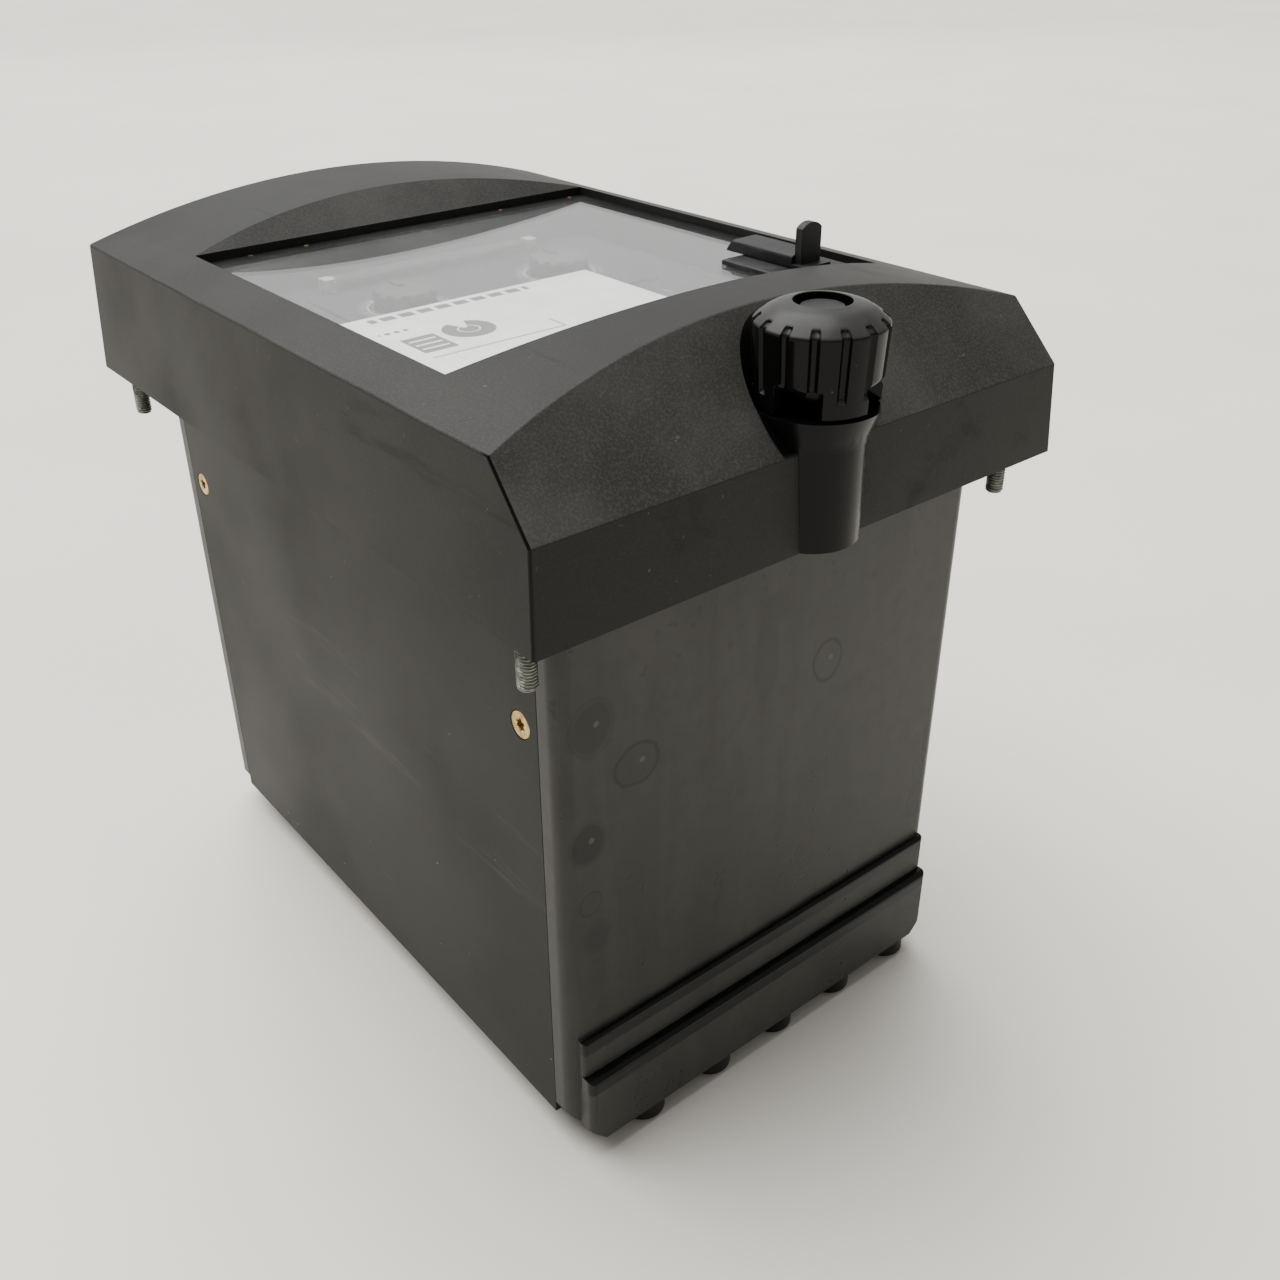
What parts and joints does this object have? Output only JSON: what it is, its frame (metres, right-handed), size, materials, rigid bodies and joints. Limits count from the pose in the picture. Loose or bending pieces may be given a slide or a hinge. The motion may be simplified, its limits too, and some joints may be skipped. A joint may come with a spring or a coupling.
{
  "type": "drawout panel relay",
  "caption": "Draw-out protective relay in a deep panel case: arched front cover with a window, reset slide and thumb nut, studded mounting flange and rear screw terminals.",
  "frame": {"origin": "centre of the four panel studs, on the rear face of the mounting flange", "axes": "+Z out of the panel towards the reader, +X to the relay's right, +Y to its top end"},
  "size_m": [0.1688, 0.2449, 0.2274],
  "materials": {
    "cover_moulding": "fine-textured charcoal moulding",
    "clear_pane": "clear acrylic, lightly scratched",
    "black_gloss": "polished black phenolic",
    "black_lever": "moulded black",
    "case_moulding": "semi-gloss black, drip marked",
    "side_paint": "dark olive-grey fine texture paint",
    "flange_paint": "black paint",
    "zinc_steel": "zinc plated",
    "yellow_zinc": "yellow passivated",
    "brass": "tarnished brass",
    "gasket_rubber": "black closed-cell rubber",
    "label_stock": "white printed film",
    "inner_moulding": "black phenolic",
    "panel_paint": "black satin paint",
    "relay_sheet": "plated sheet steel",
    "circuit_board": "green solder mask",
    "component_black": "moulded epoxy",
    "capacitor_sleeve": "blue sleeve",
    "relay_cube": "sealed cream case",
    "core_steel": "stacked laminations",
    "coil_tape": "yellow winding tape",
    "flag_orange": "fluorescent orange",
    "indicator_red": "red lens"
  },
  "bodies": {
    "case": {"mounting_flange": "flange_paint", "panel_studs": "zinc_steel", "cover_stud": "zinc_steel", "cover_gasket": "gasket_rubber", "bottom_end_wall": "case_moulding", "top_end_wall": "case_moulding", "left_side_plate": "side_paint", "right_side_plate": "side_paint", "side_plate_screws": "yellow_zinc", "rear_terminal_base": "inner_moulding", "terminal_saddles": "brass", "terminal_screws": "brass", "bottom_case_contacts": "inner_moulding", "top_case_contacts": "inner_moulding", "terminal_bars": "brass", "guide_rails": "inner_moulding"},
    "cover": {"front_cover": "cover_moulding", "window_pane": "clear_pane", "pane_retainer": "inner_moulding", "pane_rivets": "brass", "window_label": "label_stock", "reset_guide": "black_lever", "reset_spring": "zinc_steel"},
    "thumb_nut": {"thumb_nut_knob": "black_gloss", "thumb_nut_insert": "brass", "thumb_nut_clip": "zinc_steel"},
    "reset_slide": {"reset_slider": "black_lever"},
    "relay": {"relay_front_panel": "panel_paint", "left_relay_frame": "relay_sheet", "right_relay_frame": "relay_sheet", "relay_rear_plate": "relay_sheet", "bottom_relay_contacts": "inner_moulding", "top_relay_contacts": "inner_moulding", "circuit_boards": "circuit_board", "board_capacitors": "capacitor_sleeve", "board_chips": "component_black", "output_relays": "relay_cube", "input_transformer_cores": "core_steel", "input_transformer_coils": "coil_tape", "dial_scale_plate": "relay_sheet", "target_bezel": "inner_moulding", "power_indicator": "indicator_red", "reset_paddle": "inner_moulding", "target_brackets": "relay_sheet", "latch_brackets": "relay_sheet"},
    "bottom_plug": {"bottom_connection_plug": "inner_moulding", "bottom_plug_blades": "brass"},
    "top_plug": {"top_connection_plug": "inner_moulding", "top_plug_blades": "brass"},
    "pickup_dial": {"pickup_dial_knob": "black_gloss"},
    "time_dial": {"time_dial_knob": "black_gloss"},
    "left_flag": {"left_target_flag": "flag_orange"},
    "right_flag": {"right_target_flag": "flag_orange"},
    "bottom_latch": {"bottom_draw_latch": "zinc_steel"},
    "top_latch": {"top_draw_latch": "zinc_steel"}
  },
  "joints": [
    {"name": "cover_lift", "type": "slide", "parent": "case", "child": "cover", "axis": [0, 0, 1], "range_m": [0, 0.3]},
    {"name": "thumb_nut_turn", "type": "hinge", "parent": "cover", "child": "thumb_nut", "pos_m": [0, -0.11135, 0.045], "axis": [0, 0, 1], "continuous": true},
    {"name": "reset_push", "type": "slide", "parent": "cover", "child": "reset_slide", "axis": [0, 1, 0], "range_m": [0, 0.009], "stiffness_N_per_m": 60},
    {"name": "relay_draw", "type": "slide", "parent": "case", "child": "relay", "axis": [0, 0, 1], "range_m": [0, 0.18]},
    {"name": "bottom_plug_pull", "type": "slide", "parent": "case", "child": "bottom_plug", "axis": [0, 0, 1], "range_m": [0, 0.24]},
    {"name": "top_plug_pull", "type": "slide", "parent": "case", "child": "top_plug", "axis": [0, 0, 1], "range_m": [0, 0.24]},
    {"name": "pickup_dial_turn", "type": "hinge", "parent": "relay", "child": "pickup_dial", "pos_m": [-0.027, 0.022, 0.03], "axis": [0, 0, -1], "range_deg": [-140, 140]},
    {"name": "time_dial_turn", "type": "hinge", "parent": "relay", "child": "time_dial", "pos_m": [0.027, 0.022, 0.03], "axis": [0, 0, -1], "range_deg": [-140, 140]},
    {"name": "left_flag_drop", "type": "hinge", "parent": "relay", "child": "left_flag", "pos_m": [-0.016, -0.0404, 0.0236], "axis": [-1, 0, 0], "range_deg": [0, 75]},
    {"name": "right_flag_drop", "type": "hinge", "parent": "relay", "child": "right_flag", "pos_m": [0.016, -0.0404, 0.0236], "axis": [-1, 0, 0], "range_deg": [0, 75]},
    {"name": "bottom_latch_fold", "type": "hinge", "parent": "relay", "child": "bottom_latch", "pos_m": [0, -0.051, 0.0311], "axis": [-1, 0, 0], "range_deg": [0, 80]},
    {"name": "top_latch_fold", "type": "hinge", "parent": "relay", "child": "top_latch", "pos_m": [0, 0.051, 0.0311], "axis": [1, 0, 0], "range_deg": [0, 80]}
  ],
  "couplings": [
    {"joint": "relay_draw", "follows": "cover_lift", "ratio": 0.6},
    {"joint": "bottom_plug_pull", "follows": "cover_lift", "ratio": 0.8},
    {"joint": "top_plug_pull", "follows": "cover_lift", "ratio": 0.8},
    {"joint": "bottom_latch_fold", "follows": "cover_lift", "rad_per_m": 4.6},
    {"joint": "top_latch_fold", "follows": "cover_lift", "rad_per_m": 4.6}
  ]
}
